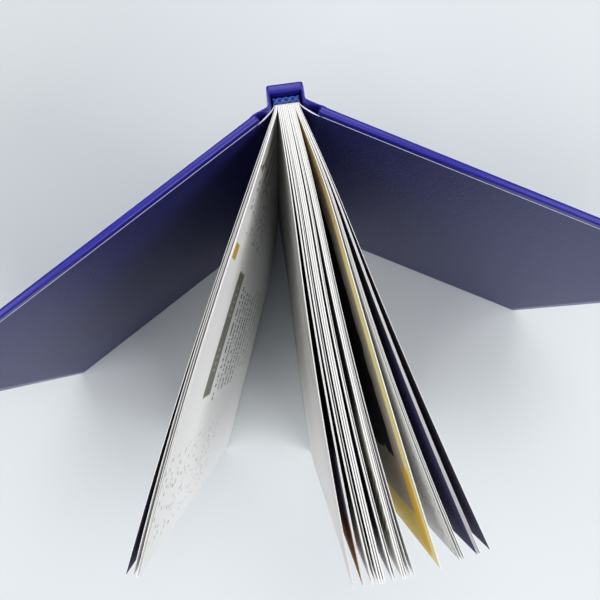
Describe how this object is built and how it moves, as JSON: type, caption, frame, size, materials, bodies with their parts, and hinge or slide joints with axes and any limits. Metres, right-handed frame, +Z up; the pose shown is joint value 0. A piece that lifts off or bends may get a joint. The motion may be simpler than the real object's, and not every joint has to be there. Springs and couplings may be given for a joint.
{
  "type": "hardcover book",
  "caption": "Hardcover fill-in book standing on its tail edge with covers spread and leaves fanned; both covers hinge at the spine joints.",
  "frame": {"origin": "centre of the tail end of the spine, on the surface that the book stands on", "axes": "+Z up from tail to head, +Y out of the spine, +X towards the back cover"},
  "size_m": [0.2694, 0.1534, 0.216],
  "materials": {
    "leaf_paper": "matt uncoated paper",
    "endpaper": "dark navy endpaper, matt",
    "woven_band": "woven royal blue",
    "lining_paper": "matt kraft lining",
    "cover_sheet": "satin laminated violet-blue",
    "greyboard": "grey binder's board"
  },
  "bodies": {
    "block": {"pages": "leaf_paper", "front_flyleaf": "endpaper", "back_flyleaf": "endpaper", "head_band": "woven_band", "tail_band": "woven_band", "spine_lining": "lining_paper", "spine_wrap": "cover_sheet", "spine_board": "greyboard", "front_joint_strip": "cover_sheet", "back_joint_strip": "cover_sheet"},
    "front_cover": {"front_wrap": "cover_sheet", "front_board": "greyboard", "front_pastedown": "endpaper"},
    "back_cover": {"back_wrap": "cover_sheet", "back_board": "greyboard", "back_pastedown": "endpaper"}
  },
  "joints": [
    {"name": "front_cover_hinge", "type": "hinge", "parent": "block", "child": "front_cover", "pos_m": [-0.00499, -0.0062, 0.108], "axis": [0, 0, -1], "range_deg": [-30, 75], "deforming": ["front_joint_strip"]},
    {"name": "back_cover_hinge", "type": "hinge", "parent": "block", "child": "back_cover", "pos_m": [0.00499, -0.0062, 0.108], "axis": [0, 0, 1], "range_deg": [-40, 75], "deforming": ["back_joint_strip"]}
  ]
}
